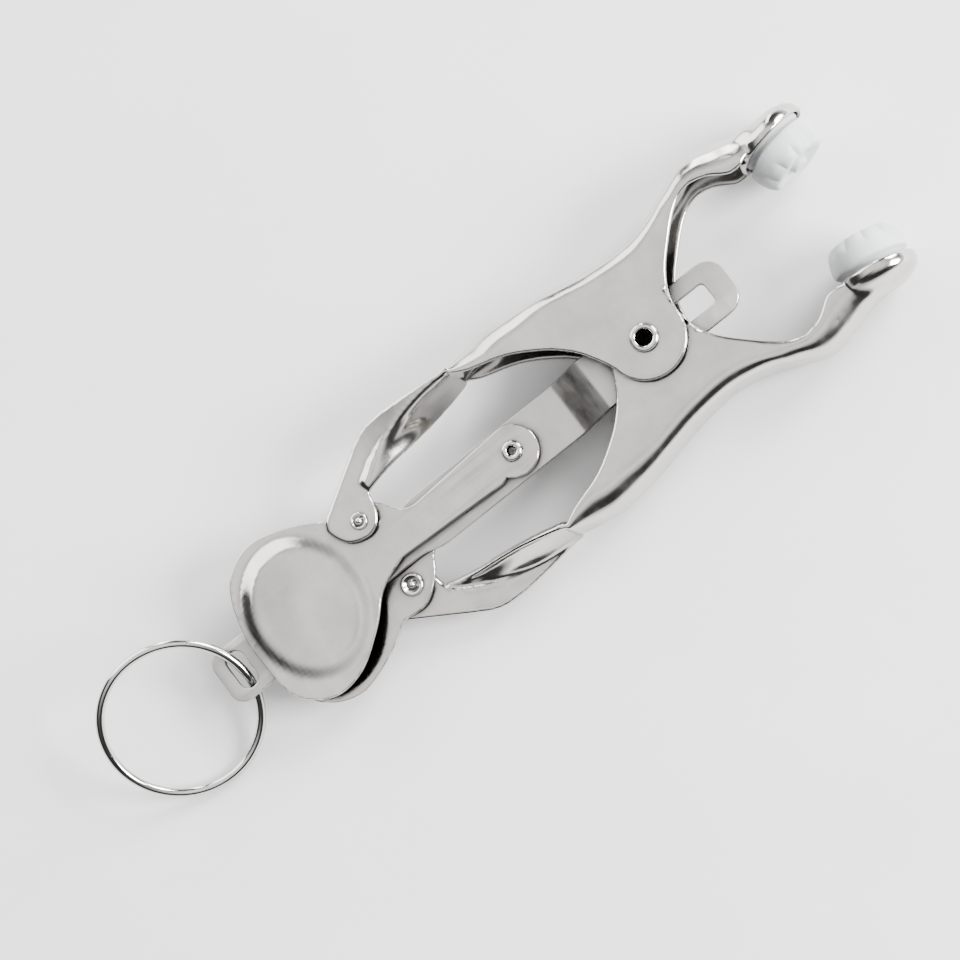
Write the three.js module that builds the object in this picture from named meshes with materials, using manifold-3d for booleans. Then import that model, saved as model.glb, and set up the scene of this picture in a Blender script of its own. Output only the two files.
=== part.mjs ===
// A small self-tightening toggle clamp, shown squeezed open.
// Two pressed-steel arms swing on one eyelet. Each arm ends in a cup with a silicone pad at
// the front and in a flat tab at the back, where a lever joins it to the slide strip.
// Pulling the ring draws the strip back, spreads the tabs and presses the pads together.
// The part lies on its side: +X runs to the jaws, Y is across the jaws, Z is the pivot axis.
// The far half (arm, pad, lever, rivet) is the near half turned half a turn about the X axis.

import * as THREE from 'three';
import { mergeVertices } from 'three/addons/utils/BufferGeometryUtils.js';
import Module from 'manifold-3d';

const wasm = await Module();
wasm.setup();

// ---------------------------------------------------------------- driving dimensions, mm
const SHEET = 0.7;             // steel sheet of the arms, levers and strip
const GAP = 0.3;               // play between stacked sheets

const FLANGE_OUT = 4.3;        // outer face of an arm's outside flange, from the middle plane
const FLANGE_IN = 3.2;         // outer face of its inside flange
const EAR_RADIUS = 4.4;        // round ears about the pivot

const CUP_X = 22.6;            // middle of the cup's rim
const CUP_Y = 8.5;
const CUP_RADIUS = 4.45;
const CUP_DEPTH = 2.6;
const CUP_WALL = 0.6;
const CLOSING_ANGLE = THREE.MathUtils.degToRad(10.5);   // each arm, from open to shut

const PAD_RADIUS = 4.1;
const PAD_FACE = 3.65;         // height of the pad's face above the cup's rim
const PAD_PETALS = 11;         // scallops round the face

const PETAL_DEPTH = 0.045;     // as a share of the face's radius

const LINK_X = -18.1;          // the eyelet that joins both levers to the strip
const TAB_X = -35.2;           // the rivet that joins a lever to its arm
const TAB_Y = 4.1;

const STRIP_HALF = 3.1;
const TAIL_HALF = 2.4;
const TAIL_X = -57.6;          // rear end of the strip
const TAIL_HOLE_X = -55;
const STRIP_FRONT_X = 10.6;
const STRIP_STEP = 1.8;        // how far the front of the strip is raised
const RAMP_START_X = -11;
const RAMP_END_X = -7.2;
const WAIST_START_X = -29;     // the strip is narrow between the levers' wings
const WAIST_END_X = -53.5;
const SLOT_HALF = 1.25;
const SLOT_START_X = -3.4;
const SLOT_END_X = 8;

const PIVOT_TUBE = 1.05;       // outer radius of the pivot eyelet
const PIVOT_BORE = 0.8;
const PIVOT_HEAD = 1.5;
const HEAD_HEIGHT = 0.6;

const LINK_TUBE = 0.7;
const LINK_HEAD = 1.1;
const RIVET_SHANK = 0.5;
const RIVET_HEAD = 0.9;
const OPEN_PLAY = 0.5;         // extra radius of the tab rivet's hole in its lever

const SPRING_RADIUS = 2.25;
const SPRING_WIRE = 0.3;       // wire radius
const SPRING_PITCH = 0.7;
const SPRING_TURNS = 3.25;

const RING_RADIUS = 8.5;
const RING_WIRE = 0.5;
const RING_TILT = THREE.MathUtils.degToRad(30);

const LINK_Z = SHEET / 2 + GAP;             // underside of the near lever
const TAB_Z = LINK_Z + SHEET + GAP;         // underside of the upper arm's tab

// ---------------------------------------------------------------- solids
function solid(geometry) {
  const bare = geometry.clone();
  bare.deleteAttribute('normal');
  bare.deleteAttribute('uv');
  const merged = mergeVertices(bare, 1e-4);
  return new wasm.Manifold(new wasm.Mesh({
    numProp: 3,
    vertProperties: new Float32Array(merged.attributes.position.array),
    triVerts: new Uint32Array(merged.index.array),
  }));
}

function geometryOf(body) {
  const mesh = body.getMesh();
  const geometry = new THREE.BufferGeometry();
  geometry.setAttribute('position', new THREE.BufferAttribute(mesh.vertProperties, 3));
  geometry.setIndex(new THREE.BufferAttribute(mesh.triVerts, 1));
  geometry.computeVertexNormals();
  return geometry;
}

const at = (x, y) => new THREE.Vector2(x, y);

// A flat plate from a Shape in the XY plane, between two heights.
function plate(shape, bottom, top, smoothness = 8) {
  const geometry = new THREE.ExtrudeGeometry(shape, {
    depth: top - bottom, bevelEnabled: false, curveSegments: smoothness,
  });
  return geometry.translate(0, 0, bottom);
}

// A drill along Z.
function drill(radius, x, y, bottom = -10, top = 10) {
  const geometry = new THREE.CylinderGeometry(radius, radius, top - bottom, 20);
  return geometry.rotateX(Math.PI / 2).translate(x, y, (bottom + top) / 2);
}

// A turned piece about Z from points (radius, height).
function turned(profile, segments = 20) {
  const points = profile.map(([radius, height]) => at(radius, height));
  return new THREE.LatheGeometry(points, segments).rotateX(Math.PI / 2);
}

function roundedSlot(startX, endX, halfWidth) {
  const corner = halfWidth * 0.6;
  const shape = new THREE.Shape();
  shape.moveTo(startX + halfWidth, -halfWidth);
  shape.lineTo(endX - corner, -halfWidth);
  shape.absarc(endX - corner, -halfWidth + corner, corner, -Math.PI / 2, 0);
  shape.lineTo(endX, halfWidth - corner);
  shape.absarc(endX - corner, halfWidth - corner, corner, 0, Math.PI / 2);
  shape.lineTo(startX + halfWidth, halfWidth);
  shape.absarc(startX + halfWidth, 0, halfWidth, Math.PI / 2, Math.PI * 1.5);
  return shape;
}

// ---------------------------------------------------------------- arm
// The outer edge of an arm from the cup to the neck before the tab.
const ARM_BACK = [
  at(20.6, 10.8), at(17.6, 11.9), at(14, 12.5), at(11, 11.3), at(8, 10), at(4.2, 9.3), at(0, 9.5),
  at(-4.3, 10.3), at(-9.2, 11.4), at(-13.4, 11.8), at(-18.2, 10.5), at(-25.2, 9.2), at(-29.5, 8),
  at(-32.3, 6.8),
];
const BACK_STEPS = 30;
const FLANGE_TAIL_X = -19;     // where the side flanges end and the open band begins
const BAND_END_X = -31.6;      // where the band has narrowed to the tab's sheet
const EAR_START = THREE.MathUtils.degToRad(188);
const EAR_END = THREE.MathUtils.degToRad(367);

// The same edge moved inwards by the sheet's thickness.
function insideOf(points, distance) {
  return points.map((point, i) => {
    const before = points[Math.max(i - 1, 0)];
    const after = points[Math.min(i + 1, points.length - 1)];
    const along = after.clone().sub(before).normalize();
    return at(point.x - along.y * distance, point.y + along.x * distance);
  });
}

function armBand() {
  const outside = new THREE.SplineCurve(ARM_BACK).getPoints(BACK_STEPS);
  const inside = insideOf(outside, SHEET);
  return new THREE.Shape([...outside, ...inside.reverse()]);
}

// The side flange: the arm's back, a tapering tail, the ear and the shallow neck.
function flangeShape() {
  const outside = new THREE.SplineCurve(ARM_BACK).getPoints(BACK_STEPS);
  const shape = new THREE.Shape(outside.filter((point) => point.x > FLANGE_TAIL_X));
  shape.splineThru([
    at(-16.7, 9), at(-12.4, 7.7), at(-8.8, 5.5), at(-6.6, 3.4), at(-5.2, 1.2), at(-4.35, -0.6),
  ]);
  shape.absarc(0, 0, EAR_RADIUS, EAR_START, EAR_END);
  shape.splineThru([
    at(4.9, 2.4), at(6.2, 4.5), at(8.4, 6.8), at(10.7, 8.8), at(12.8, 9.7), at(15, 9.3), at(17, 8),
    at(18.6, 7.9),
  ]);
  shape.lineTo(ARM_BACK[0].x, ARM_BACK[0].y);
  return shape;
}

// The side view of the band: full depth to the flanges' end, then tapering to the tab.
function bandTaper() {
  const front = 30;
  const rear = -40;
  const tabTop = TAB_Z + SHEET;
  const shape = new THREE.Shape();
  shape.moveTo(front, -FLANGE_IN);
  shape.lineTo(front, FLANGE_OUT);
  shape.lineTo(FLANGE_TAIL_X, FLANGE_OUT);
  shape.bezierCurveTo(-24.5, FLANGE_OUT, -28.5, tabTop + 0.9, BAND_END_X, tabTop);
  shape.lineTo(rear, tabTop);
  shape.lineTo(rear, TAB_Z);
  shape.lineTo(BAND_END_X, TAB_Z);
  shape.bezierCurveTo(-28, TAB_Z - 1.1, -25, -FLANGE_IN, FLANGE_TAIL_X, -FLANGE_IN);
  const slab = new THREE.ExtrudeGeometry(shape, { depth: 40, bevelEnabled: false, curveSegments: 8 });
  return slab.rotateX(Math.PI / 2).translate(0, 20, 0);
}

// The tab: a leaf folded outwards from the band, with a round nose about the rivet.
function tabShape() {
  const shape = new THREE.Shape();
  shape.moveTo(-21.4, 10.2);
  shape.splineThru([at(-24.8, 11.3), at(-29.5, 11.6), at(-32.4, 10.1)]);
  shape.lineTo(-38.2, 6.5);
  shape.splineThru([
    at(-38.7, 5.2), at(-37.6, 3), at(TAB_X, TAB_Y - 1.9), at(-33.7, 2.9), at(-33, 4.2), at(-33, 5.6),
    at(-32.4, 6.5),
  ]);
  shape.lineTo(-31.2, 7.2);
  shape.splineThru([at(-28.4, 8.1), at(-25.2, 8.9), at(-21.4, 9.6)]);
  return shape;
}

// The pressed cup, turned about its own axis with the rim at the origin, facing down -Y.
function cupGeometry() {
  const inner = CUP_RADIUS - CUP_WALL;
  const profile = [
    [0, CUP_DEPTH], [2.3, CUP_DEPTH], [3.2, CUP_DEPTH - 0.3], [3.95, CUP_DEPTH - 1], [CUP_RADIUS - 0.1, 0.9],
    [CUP_RADIUS, 0.2], [CUP_RADIUS - 0.15, 0], [inner, 0], [inner - 0.05, 0.8],
    [inner - 0.5, CUP_DEPTH - 1.3], [inner - 1.1, CUP_DEPTH - 0.8], [2, CUP_DEPTH - CUP_WALL],
    [0, CUP_DEPTH - CUP_WALL],
  ];
  const points = profile.map(([radius, height]) => at(radius, height)).reverse();
  return new THREE.LatheGeometry(points, 32);
}

function atCup(geometry) {
  return geometry.rotateZ(CLOSING_ANGLE).translate(CUP_X, CUP_Y, 0);
}

function armGeometry() {
  const flange = flangeShape();
  const band = solid(plate(armBand(), -FLANGE_IN, FLANGE_OUT)).intersect(solid(bandTaper()));
  const cup = solid(atCup(cupGeometry()));
  const room = new THREE.CylinderGeometry(CUP_RADIUS - 0.3, CUP_RADIUS - 0.3, 6, 32);
  const cupRoom = solid(atCup(room.translate(0, -1.2, 0)));
  return geometryOf(
    band
      .add(solid(plate(flange, FLANGE_OUT - SHEET, FLANGE_OUT)))
      .add(solid(plate(flange, -FLANGE_IN, -FLANGE_IN + SHEET)))
      .subtract(cupRoom)
      .add(cup)
      .add(solid(plate(tabShape(), TAB_Z, TAB_Z + SHEET)))
      .subtract(solid(drill(PIVOT_TUBE + 0.15, 0, 0)))
      .subtract(solid(drill(RIVET_SHANK + 0.1, TAB_X, TAB_Y))),
  );
}

// ---------------------------------------------------------------- pad
// A soft disc with a groove at the cup's rim, a scalloped edge and a small middle nub.
function padGeometry() {
  const base = CUP_RADIUS - CUP_WALL - 0.2;
  const profile = [
    [0, 1.75], [base - 1.3, 1.6], [base - 0.5, 1.1], [base, 0.5], [base, 0.1],
    [base - 0.25, -0.25], [PAD_RADIUS - 0.25, -0.55], [PAD_RADIUS, -1], [PAD_RADIUS, -1.7],
    [PAD_RADIUS - 0.35, -2.7], [PAD_RADIUS - 0.75, -3.4], [PAD_RADIUS - 1.3, -PAD_FACE + 0.08],
    [PAD_RADIUS - 2, -PAD_FACE + 0.02], [1.25, -PAD_FACE + 0.12], [1, -PAD_FACE + 0.02],
    [0.85, -PAD_FACE - 0.2],
    [0.5, -PAD_FACE - 0.25], [0, -PAD_FACE - 0.25],
  ];
  const points = profile.map(([radius, height]) => at(radius, height)).reverse();
  const geometry = new THREE.LatheGeometry(points, 32);
  const point = new THREE.Vector3();
  for (let i = 0; i < geometry.attributes.position.count; i++) {
    point.fromBufferAttribute(geometry.attributes.position, i);
    const radius = Math.hypot(point.x, point.z);
    const nearFace = THREE.MathUtils.smoothstep(-point.y, 1.6, 3.3);
    const nearEdge = THREE.MathUtils.smoothstep(radius, 1.4, 2.6);
    const wave = Math.cos(PAD_PETALS * Math.atan2(point.z, point.x));
    const scale = 1 + PETAL_DEPTH * nearFace * nearEdge * wave;
    geometry.attributes.position.setXYZ(i, point.x * scale, point.y, point.z * scale);
  }
  return geometry;
}

// ---------------------------------------------------------------- slide strip
// The strip's plan: a slotted front, a long body and a narrower tail with a cross hole.
function stripPlan() {
  const corner = 2.2;
  const tailCorner = 1.6;
  const frontCorner = STRIP_FRONT_X - corner;
  const rearCorner = TAIL_X + tailCorner;
  const shape = new THREE.Shape();
  shape.moveTo(WAIST_START_X, -STRIP_HALF);
  shape.lineTo(frontCorner, -STRIP_HALF);
  shape.absarc(frontCorner, corner - STRIP_HALF, corner, -Math.PI / 2, 0);
  shape.absarc(frontCorner, STRIP_HALF - corner, corner, 0, Math.PI / 2);
  shape.lineTo(WAIST_START_X, STRIP_HALF);
  shape.bezierCurveTo(WAIST_START_X - 2, STRIP_HALF, WAIST_START_X - 2, TAIL_HALF, WAIST_START_X - 4, TAIL_HALF);
  shape.lineTo(WAIST_END_X + 3.5, TAIL_HALF);
  shape.bezierCurveTo(WAIST_END_X + 2, TAIL_HALF, WAIST_END_X + 1.5, STRIP_HALF, WAIST_END_X, STRIP_HALF);
  shape.lineTo(rearCorner, STRIP_HALF);
  shape.absarc(rearCorner, STRIP_HALF - tailCorner, tailCorner, Math.PI / 2, Math.PI);
  shape.absarc(rearCorner, tailCorner - STRIP_HALF, tailCorner, Math.PI, Math.PI * 1.5);
  shape.lineTo(WAIST_END_X, -STRIP_HALF);
  shape.bezierCurveTo(WAIST_END_X + 1.5, -STRIP_HALF, WAIST_END_X + 2, -TAIL_HALF, WAIST_END_X + 3.5, -TAIL_HALF);
  shape.lineTo(WAIST_START_X - 4, -TAIL_HALF);
  shape.bezierCurveTo(WAIST_START_X - 2, -TAIL_HALF, WAIST_START_X - 2, -STRIP_HALF, WAIST_START_X, -STRIP_HALF);
  return shape;
}

// The strip's side view: flat, one ramp, and the raised front.
function stripSide() {
  const half = SHEET / 2;
  const lean = 0.15;           // keeps the ramp as thick as the rest
  const rear = TAIL_X - 2;
  const front = STRIP_FRONT_X + 2;
  const shape = new THREE.Shape();
  shape.moveTo(rear, -half);
  shape.lineTo(RAMP_START_X, -half);
  shape.lineTo(RAMP_END_X, STRIP_STEP - half);
  shape.lineTo(front, STRIP_STEP - half);
  shape.lineTo(front, STRIP_STEP + half);
  shape.lineTo(RAMP_END_X - lean, STRIP_STEP + half);
  shape.lineTo(RAMP_START_X - lean, half);
  shape.lineTo(rear, half);
  const slab = new THREE.ExtrudeGeometry(shape, { depth: 12, bevelEnabled: false });
  return slab.rotateX(Math.PI / 2).translate(0, 6, 0);
}

function tailHole() {
  const shape = new THREE.Shape();
  shape.absarc(TAIL_HOLE_X, 1.1, 1.1, 0, Math.PI);
  shape.absarc(TAIL_HOLE_X, -1.1, 1.1, Math.PI, Math.PI * 2);
  return shape;
}

function stripGeometry() {
  return geometryOf(
    solid(plate(stripPlan(), -5, 5))
      .intersect(solid(stripSide()))
      .subtract(solid(plate(roundedSlot(SLOT_START_X, SLOT_END_X, SLOT_HALF), -6, 6)))
      .subtract(solid(plate(tailHole(), -6, 6)))
      .subtract(solid(drill(LINK_TUBE + 0.1, LINK_X, 0))),
  );
}

// ---------------------------------------------------------------- levers
// A lever: round end on the strip, a bar, a lobe about the tab rivet and a broad finger wing.
function leverShape() {
  const shape = new THREE.Shape();
  shape.absarc(LINK_X, 0, 2.8, THREE.MathUtils.degToRad(-140), THREE.MathUtils.degToRad(94));
  shape.lineTo(-29.6, 2.1);
  shape.splineThru([at(-31.4, 2.9), at(-32.7, 4.8), at(TAB_X, 6.6), at(-38.2, 6.5)]);
  shape.splineThru([
    at(-41.8, 8.6), at(-46.4, 9.8), at(-50.4, 7.9), at(-52.3, 3.4), at(-52.6, -1.4), at(-51.8, -6),
    at(-48.6, -8.6),
  ]);
  shape.splineThru([at(-44.6, -8.3), at(-40.6, -5.7), at(-37.6, -2.9), at(-34, -1.5)]);
  shape.lineTo(-21, -2.1);
  return shape;
}

function leverGeometry() {
  return geometryOf(
    solid(plate(leverShape(), LINK_Z, LINK_Z + SHEET, 6))
      .subtract(solid(drill(LINK_TUBE + 0.2, LINK_X, 0)))
      .subtract(solid(drill(RIVET_SHANK + OPEN_PLAY, TAB_X, TAB_Y))),
  );
}

// ---------------------------------------------------------------- fasteners
// A tube with a rolled head at each end, open through the middle.
function eyeletGeometry(tube, bore, head, halfGrip) {
  const profile = [
    [bore, -halfGrip], [bore + 0.15, -halfGrip - HEAD_HEIGHT], [head - 0.25, -halfGrip - HEAD_HEIGHT],
    [head, -halfGrip - HEAD_HEIGHT / 2], [head - 0.1, -halfGrip - 0.05], [tube, -halfGrip - 0.05],
    [tube, halfGrip + 0.05], [head - 0.1, halfGrip + 0.05], [head, halfGrip + HEAD_HEIGHT / 2],
    [head - 0.25, halfGrip + HEAD_HEIGHT], [bore + 0.15, halfGrip + HEAD_HEIGHT], [bore, halfGrip],
    [bore, -halfGrip],
  ];
  return turned(profile);
}

// A small solid rivet, with a ring and a dome on the arm's side and a flat head under the lever.
function tabRivetGeometry() {
  const bottom = LINK_Z - 0.05;
  const top = TAB_Z + SHEET + 0.05;
  const profile = [
    [0, bottom - 0.4], [RIVET_HEAD + 0.15, bottom - 0.4], [RIVET_HEAD + 0.35, bottom - 0.15],
    [RIVET_HEAD + 0.35, bottom],
    [RIVET_SHANK, bottom], [RIVET_SHANK, top], [RIVET_HEAD, top], [RIVET_HEAD, top + 0.25],
    [RIVET_HEAD - 0.2, top + 0.35], [0.5, top + 0.2], [0.4, top + 0.4], [0.2, top + 0.55], [0, top + 0.6],
  ];
  return turned(profile).translate(TAB_X, TAB_Y, 0);
}

// The spacer that keeps the far flanges and the strip apart inside the spring.
function spacerGeometry() {
  const bottom = -FLANGE_IN + SHEET + 0.15;
  const top = STRIP_STEP - SHEET / 2 - 0.15;
  const outer = PIVOT_TUBE + 0.6;
  const inner = PIVOT_TUBE + 0.15;
  return turned([[inner, bottom], [outer, bottom], [outer, top], [inner, top], [inner, bottom]]);
}

// ---------------------------------------------------------------- spring and ring
const SPRING_START = THREE.MathUtils.degToRad(125);
const LEG_LENGTH = 8.3;
const LEG_SHARE = 0.16;        // how much of the curve's parameter each leg takes
const UPPER_LEG = new THREE.Vector3(-0.82, 0.66, 0);
const LOWER_LEG = new THREE.Vector3(-0.83, -0.7, 0);

// The coil about the pivot, with one leg to each arm's back.
class SpringLine extends THREE.Curve {
  onCoil(share, target) {
    const angle = SPRING_START + SPRING_TURNS * Math.PI * 2 * share;
    const low = -FLANGE_IN + SHEET + GAP + SPRING_WIRE;
    const height = low + SPRING_PITCH * SPRING_TURNS * share;
    return target.set(SPRING_RADIUS * Math.cos(angle), SPRING_RADIUS * Math.sin(angle), height);
  }

  getPoint(t, target = new THREE.Vector3()) {
    if (t < LEG_SHARE) {
      const run = (1 - t / LEG_SHARE) * LEG_LENGTH;
      return this.onCoil(0, target).addScaledVector(UPPER_LEG, run);
    }
    if (t > 1 - LEG_SHARE) {
      const run = (1 - (1 - t) / LEG_SHARE) * LEG_LENGTH;
      return this.onCoil(1, target).addScaledVector(LOWER_LEG, run);
    }
    return this.onCoil((t - LEG_SHARE) / (1 - 2 * LEG_SHARE), target);
  }
}

function wireSection(radius, sides = 6) {
  const shape = new THREE.Shape();
  shape.absarc(0, 0, radius, 0, Math.PI * 2);
  const points = shape.getPoints(sides).slice(0, sides);
  return new THREE.Shape(points);
}

function springGeometry() {
  return new THREE.ExtrudeGeometry(wireSection(SPRING_WIRE), {
    steps: 64, bevelEnabled: false, extrudePath: new SpringLine(),
  });
}

function ringGeometry() {
  return new THREE.TorusGeometry(RING_RADIUS, RING_WIRE, 8, 32)
    .rotateX(RING_TILT)
    .translate(TAIL_HOLE_X - RING_RADIUS, 0, 0);
}

// ---------------------------------------------------------------- assembly
const plated = { color: 0xc9c7c3, roughness: 0.18, metalness: 1 };
const brushed = { color: 0xb9b2aa, roughness: 0.38, metalness: 1 };
const bright = { color: 0xd8d8d6, roughness: 0.12, metalness: 1 };
const springSteel = { color: 0x8f9094, roughness: 0.3, metalness: 1 };
const silicone = { color: 0xf1f1ee, roughness: 0.45, metalness: 0 };

const clamp = new THREE.Group();

function addPiece(name, geometry, finish, parent = clamp) {
  const mesh = new THREE.Mesh(geometry, new THREE.MeshStandardMaterial(finish));
  mesh.name = name;
  parent.add(mesh);
  return mesh;
}

// The two halves: the same pieces, the second set turned half a turn about the X axis.
const halves = [['upper', 'near', 0], ['lower', 'far', Math.PI]];
for (const [side, layer, turn] of halves) {
  const half = new THREE.Group();
  half.rotation.x = turn;
  clamp.add(half);
  addPiece(`arm_${side}`, armGeometry(), plated, half);
  addPiece(`pad_${side}`, atCup(padGeometry()), silicone, half);
  addPiece(`lever_${layer}`, leverGeometry(), plated, half);
  addPiece(`tab_rivet_${side}`, tabRivetGeometry(), bright, half);
}

addPiece('slide_strip', stripGeometry(), brushed);
addPiece('pivot_eyelet', eyeletGeometry(PIVOT_TUBE, PIVOT_BORE, PIVOT_HEAD, FLANGE_OUT), bright);
addPiece('pivot_spacer', spacerGeometry(), brushed);
addPiece('torsion_spring', springGeometry(), springSteel);
addPiece('pull_ring', ringGeometry(), bright);

const linkEyelet = eyeletGeometry(LINK_TUBE, LINK_TUBE - 0.3, LINK_HEAD, LINK_Z + SHEET);
addPiece('link_eyelet', linkEyelet.translate(LINK_X, 0, 0), bright);

// The origin is the middle of the box that the clamp fills, at its lowest height.
clamp.updateMatrixWorld(true);
const box = new THREE.Box3().setFromObject(clamp, true);
clamp.position.set(-(box.min.x + box.max.x) / 2, -(box.min.y + box.max.y) / 2, -box.min.z);

export default clamp;
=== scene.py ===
"""Looks of the toggle clamp: pressed plated arms, silicone pads, levers, strip, spring and ring.

Outlines are in millimetres about the pivot, in the clamp's middle plane, as in the part's design.
Places come from the frame: the pivot eyelet, the link eyelet and the tab rivets.
"""
import math

import bmesh
import bpy
from mathutils import Matrix, Vector


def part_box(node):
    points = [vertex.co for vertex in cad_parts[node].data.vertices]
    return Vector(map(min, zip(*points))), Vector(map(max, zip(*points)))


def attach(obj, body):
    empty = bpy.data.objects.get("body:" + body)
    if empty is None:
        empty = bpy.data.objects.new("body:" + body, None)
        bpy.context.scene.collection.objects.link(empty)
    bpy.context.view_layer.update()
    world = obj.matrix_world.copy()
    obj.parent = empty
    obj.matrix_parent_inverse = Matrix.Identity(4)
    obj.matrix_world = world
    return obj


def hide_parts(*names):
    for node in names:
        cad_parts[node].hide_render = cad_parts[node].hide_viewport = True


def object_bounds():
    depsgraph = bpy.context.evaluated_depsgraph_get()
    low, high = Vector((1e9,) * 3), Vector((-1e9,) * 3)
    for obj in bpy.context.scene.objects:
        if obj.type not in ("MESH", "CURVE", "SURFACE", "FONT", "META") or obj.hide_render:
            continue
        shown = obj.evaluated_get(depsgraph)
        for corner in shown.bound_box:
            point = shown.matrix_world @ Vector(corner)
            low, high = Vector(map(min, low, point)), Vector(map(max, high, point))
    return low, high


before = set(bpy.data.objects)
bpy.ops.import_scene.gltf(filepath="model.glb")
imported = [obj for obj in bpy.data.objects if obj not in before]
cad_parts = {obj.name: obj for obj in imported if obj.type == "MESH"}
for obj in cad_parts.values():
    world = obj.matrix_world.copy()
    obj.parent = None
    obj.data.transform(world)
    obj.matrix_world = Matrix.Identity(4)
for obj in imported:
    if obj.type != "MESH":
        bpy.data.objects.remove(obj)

CAD_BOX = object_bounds()
MM = 0.001

# ------------------------------------------------------------------ sizes, mm
SHEET = 0.7
FLANGE_OUT = 4.3
FLANGE_IN = 3.2
EAR_RADIUS = 4.4
CUP_X, CUP_Y, CUP_RADIUS, CUP_DEPTH, CUP_WALL = 22.6, 8.5, 4.45, 2.6, 0.6
PIVOT_HOLE = 1.2
CLOSING_ANGLE = math.radians(10.5)
PAD_RADIUS = 4.1
PAD_FACE = 3.65
PAD_PETALS = 11
PETAL_DEPTH = 0.09
STRIP_HALF = 3.1
STRIP_STEP = 1.8
STRIP_CORNER = 2.2
RAMP_START_X, RAMP_END_X = -11, -7.2
RAMP_SOFT_START_X, RAMP_SOFT_END_X = -11.25, -6.75
SLOT_HALF, SLOT_CORNER, SLOT_START_X, SLOT_END_X = 1.25, 0.5, -3.4, 8
TAIL_HALF = 2.4
TAIL_CORNER = 1.6
TAIL_X = -57.6
TAIL_HOLE_X = -55
TAIL_HOLE_RADIUS = 1.1
STRIP_FRONT_X = 10.6
LINK_Z = SHEET / 2 + 0.3
TAB_Z = LINK_Z + SHEET + 0.3
LEVER_HEAD_RADIUS = 2.8
LEVER_HOLE_RADIUS, LEVER_TAB_HOLE_RADIUS = 0.9, 0.95
WING_X, WING_Y, WING_HALF_LENGTH, WING_HALF_WIDTH = -45.3, 0.6, 7.2, 8.6
WING_RISE, WING_CROWN = 0.5, 0.25
SPRING_RADIUS, SPRING_WIRE, SPRING_PITCH, SPRING_TURNS = 2.25, 0.3, 0.7, 3.25
SPRING_START = math.radians(125)
SPRING_LEG = 8.3
RING_RADIUS, RING_WIRE = 8.5, 0.5
RING_TILT = math.radians(30)

# stations along the arm, from the cup to the tab
NECK_STATIONS, EAR_STATIONS, TAIL_STATIONS, BAND_STATIONS = 40, 60, 44, 46
BEND_STEPS, WEB_STEPS = 8, 8
BEND_SHARE = 0.85        # the most of a flange's width that its bend may take
BAND_LIP = 0.4           # width of the rear band's turned-in edge
VOXEL, QUICK_VOXEL = 0.14, 0.25


def centre_of(node):
    """The middle of a node's box, in metres."""
    low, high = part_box(node)
    return (Vector(low) + Vector(high)) / 2


PIVOT = centre_of("pivot_eyelet")
LINK_X = (centre_of("link_eyelet") - PIVOT).x / MM
TAB_X = (centre_of("tab_rivet_upper") - PIVOT).x / MM
TAB_Y = (centre_of("tab_rivet_upper") - PIVOT).y / MM


# ------------------------------------------------------------------ curves
def spline(points, steps=8):
    """Catmull-Rom through the points."""
    dense = []
    last = len(points) - 1
    for i in range(last):
        p0 = points[max(i - 1, 0)]
        p1, p2 = points[i], points[i + 1]
        p3 = points[min(i + 2, last)]
        for k in range(steps):
            t = k / steps
            dense.append(tuple(
                0.5 * (2 * b + (c - a) * t + (2 * a - 5 * b + 4 * c - d) * t * t
                       + (3 * b - a - 3 * c + d) * t ** 3)
                for a, b, c, d in zip(p0, p1, p2, p3)))
    dense.append(tuple(points[-1]))
    return dense


def arc(cx, cy, radius, start, end, steps=16):
    """Points on an arc, angles in degrees."""
    angles = [math.radians(start + (end - start) * k / steps) for k in range(steps + 1)]
    return [(cx + radius * math.cos(a), cy + radius * math.sin(a)) for a in angles]


def bezier(p0, p1, p2, p3, steps=10):
    curve = []
    for k in range(steps + 1):
        t = k / steps
        w = ((1 - t) ** 3, 3 * t * (1 - t) ** 2, 3 * t * t * (1 - t), t ** 3)
        curve.append(tuple(sum(wi * p[c] for wi, p in zip(w, (p0, p1, p2, p3))) for c in (0, 1)))
    return curve


def evenly(points, count):
    """The same line with count points at equal distances along it."""
    lengths = [0.0]
    for a, b in zip(points, points[1:]):
        lengths.append(lengths[-1] + math.dist(a, b))
    even, j = [], 0
    for k in range(count):
        goal = lengths[-1] * k / (count - 1)
        while j < len(points) - 2 and lengths[j + 1] < goal:
            j += 1
        span = lengths[j + 1] - lengths[j] or 1
        t = min(max((goal - lengths[j]) / span, 0), 1)
        even.append(tuple(a + (b - a) * t for a, b in zip(points[j], points[j + 1])))
    return even


def smooth_step(value, low, high):
    t = min(max((value - low) / (high - low), 0), 1)
    return t * t * (3 - 2 * t)


# ------------------------------------------------------------------ meshes
def place(obj, turn=0.0):
    """Millimetres about the pivot become metres in the frame. turn is about the X axis."""
    to_frame = Matrix.Translation(PIVOT) @ Matrix.Rotation(turn, 4, "X") @ Matrix.Scale(MM, 4)
    obj.data.transform(to_frame)
    return obj


def new_object(name, bm, closed=True):
    """A new object from the mesh. An open sheet keeps the direction its faces were made in."""
    mesh = bpy.data.meshes.new(name)
    if closed:
        bmesh.ops.recalc_face_normals(bm, faces=bm.faces)
    bm.to_mesh(mesh)
    bm.free()
    obj = bpy.data.objects.new(name, mesh)
    bpy.context.collection.objects.link(obj)
    return obj


def baked(obj):
    """The object with its modifiers applied."""
    graph = bpy.context.evaluated_depsgraph_get()
    mesh = bpy.data.meshes.new_from_object(obj.evaluated_get(graph))
    obj.modifiers.clear()
    obj.data = mesh
    return obj


def smooth(obj, angle):
    """Smooth shading, with edges sharper than the angle in degrees kept sharp."""
    for face in obj.data.polygons:
        face.use_smooth = True
    if angle < 180:
        obj.data.set_sharp_from_angle(angle=math.radians(angle))
    return obj


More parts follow.
